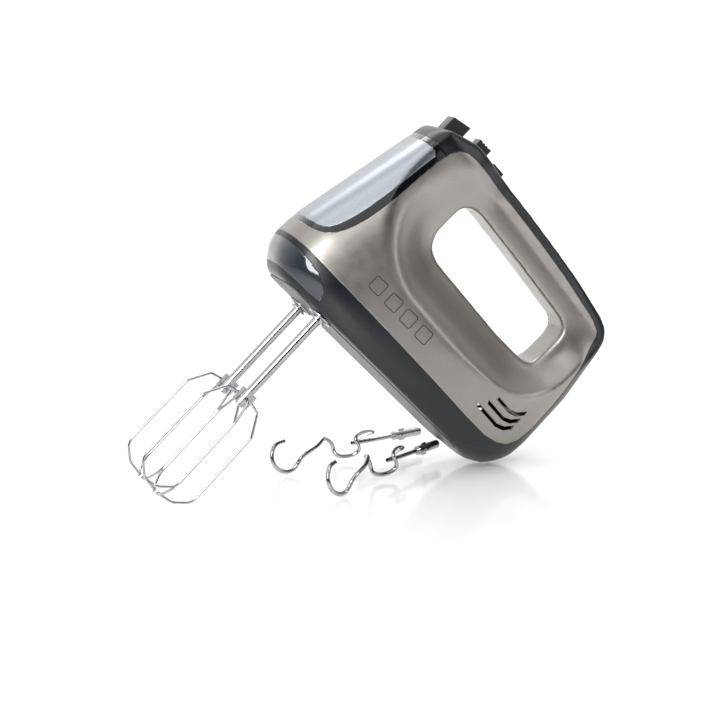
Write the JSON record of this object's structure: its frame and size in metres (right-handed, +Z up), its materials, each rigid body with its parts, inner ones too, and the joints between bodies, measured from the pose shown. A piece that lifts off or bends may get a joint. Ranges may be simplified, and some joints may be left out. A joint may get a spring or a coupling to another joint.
{
  "type": "hand mixer",
  "caption": "Hand mixer with satin metallic shells, an open handle, a curved front plate, wire beaters in its sockets and loose dough hooks beside it.",
  "frame": {"origin": "on the floor, under the middle of the bounding box, with the mixer leaning on both beater cages and its heel", "axes": "+X from the beaters towards the heel, +Y to the side away from the near hook, +Z up"},
  "size_m": [0.3054, 0.119, 0.2201],
  "materials": {
    "side_paint": "satin warm grey metallic lacquer",
    "dark_plastic": "satin blue-black moulded plastic",
    "gloss_nose": "glossy slate grey",
    "cover_plastic": "grey-green moulded plastic",
    "plate_metal": "satin",
    "gloss_black": "glossy black",
    "button_plastic": "matte black",
    "steel": "bright",
    "laminations": "varnished lamination stack",
    "copper": "copper",
    "bronze": "sintered bronze and brass",
    "carbon": "pressed carbon",
    "inner_plastic": "glass-filled nylon",
    "gear_plastic": "acetal",
    "rubber_gland": "soft black",
    "beater_chrome": "bright chrome"
  },
  "bodies": {
    "housing": {"base_shell": "dark_plastic", "brush_bracket": "inner_plastic", "brush_holders": "bronze", "brush_springs": "steel", "carbon_brushes": "carbon", "control_crown": "dark_plastic", "cord_clamp": "inner_plastic", "cord_inlet": "rubber_gland", "eject_spring": "steel", "field_coils": "copper", "front_bearing": "bronze", "front_plate": "plate_metal", "gearbox_cover": "inner_plastic", "gearbox_frame": "inner_plastic", "gearbox_screws": "steel", "housing_screws": "steel", "left_shell": "side_paint", "nose_cap": "gloss_nose", "plate_bezel": "gloss_black", "rear_bearing": "bronze", "right_shell": "side_paint", "rod_guide": "inner_plastic", "speed_switch_block": "inner_plastic", "spindle_bushes": "bronze", "spine_strip": "dark_plastic", "stator_core": "laminations", "turbo_spring": "steel", "turbo_switch": "inner_plastic", "underside_cover": "cover_plastic"},
    "rotor": {"armature_shaft": "steel", "armature_core": "laminations", "commutator": "copper", "cooling_fan": "inner_plastic"},
    "eject_slide": {"eject_button": "button_plastic", "eject_rod": "steel", "ejector_fork": "inner_plastic"},
    "speed_slide": {"speed_slider": "button_plastic"},
    "turbo_slide": {"turbo_button": "button_plastic"},
    "left_spindle": {"left_worm_wheel": "gear_plastic"},
    "right_spindle": {"right_worm_wheel": "gear_plastic"},
    "left_beater": {"left_beater_shaft": "beater_chrome", "left_beater_hub": "beater_chrome", "left_beater_wires": "beater_chrome", "left_beater_foot": "beater_chrome"},
    "right_beater": {"right_beater_shaft": "beater_chrome", "right_beater_hub": "beater_chrome", "right_beater_wires": "beater_chrome", "right_beater_foot": "beater_chrome"},
    "near_hook": {"near_hook_wire": "beater_chrome", "near_hook_shank": "beater_chrome"},
    "far_hook": {"far_hook_wire": "beater_chrome", "far_hook_shank": "beater_chrome"}
  },
  "joints": [
    {"name": "motor_spin", "type": "hinge", "parent": "housing", "child": "rotor", "pos_m": [-0.01005, -0.00754, 0.13208], "axis": [0.6681, 0, -0.7441], "continuous": true},
    {"name": "left_spindle_spin", "type": "hinge", "parent": "housing", "child": "left_spindle", "pos_m": [-0.03758, -0.03004, 0.10736], "axis": [0.7441, 0, 0.6681], "continuous": true},
    {"name": "right_spindle_spin", "type": "hinge", "parent": "housing", "child": "right_spindle", "pos_m": [-0.03758, 0.01496, 0.10736], "axis": [0.7441, 0, 0.6681], "continuous": true},
    {"name": "left_beater_pull", "type": "slide", "parent": "left_spindle", "child": "left_beater", "axis": [-0.7441, 0, -0.6681], "range_m": [0, 0.038]},
    {"name": "right_beater_pull", "type": "slide", "parent": "right_spindle", "child": "right_beater", "axis": [-0.7441, 0, -0.6681], "range_m": [0, 0.038]},
    {"name": "eject_press", "type": "slide", "parent": "housing", "child": "eject_slide", "axis": [-0.7441, 0, -0.6681], "range_m": [0, 0.006], "stiffness_N_per_m": 300, "springref_m": -0.005, "deforming": ["eject_spring"]},
    {"name": "speed_slide", "type": "slide", "parent": "housing", "child": "speed_slide", "axis": [-0.6681, 0, 0.7441], "range_m": [0, 0.008]},
    {"name": "turbo_press", "type": "slide", "parent": "housing", "child": "turbo_slide", "axis": [-0.7441, 0, -0.6681], "range_m": [0, 0.0016], "stiffness_N_per_m": 400, "springref_m": -0.003, "deforming": ["turbo_spring"]},
    {"name": "near_hook_move", "type": "slide", "parent": "housing", "child": "near_hook", "axis": [0, -1, 0], "range_m": [0, 0.06]},
    {"name": "far_hook_move", "type": "slide", "parent": "housing", "child": "far_hook", "axis": [0, 1, 0], "range_m": [0, 0.06]}
  ],
  "couplings": [
    {"joint": "right_spindle_spin", "follows": "motor_spin", "ratio": -0.071429},
    {"joint": "left_spindle_spin", "follows": "motor_spin", "ratio": 0.071429}
  ]
}
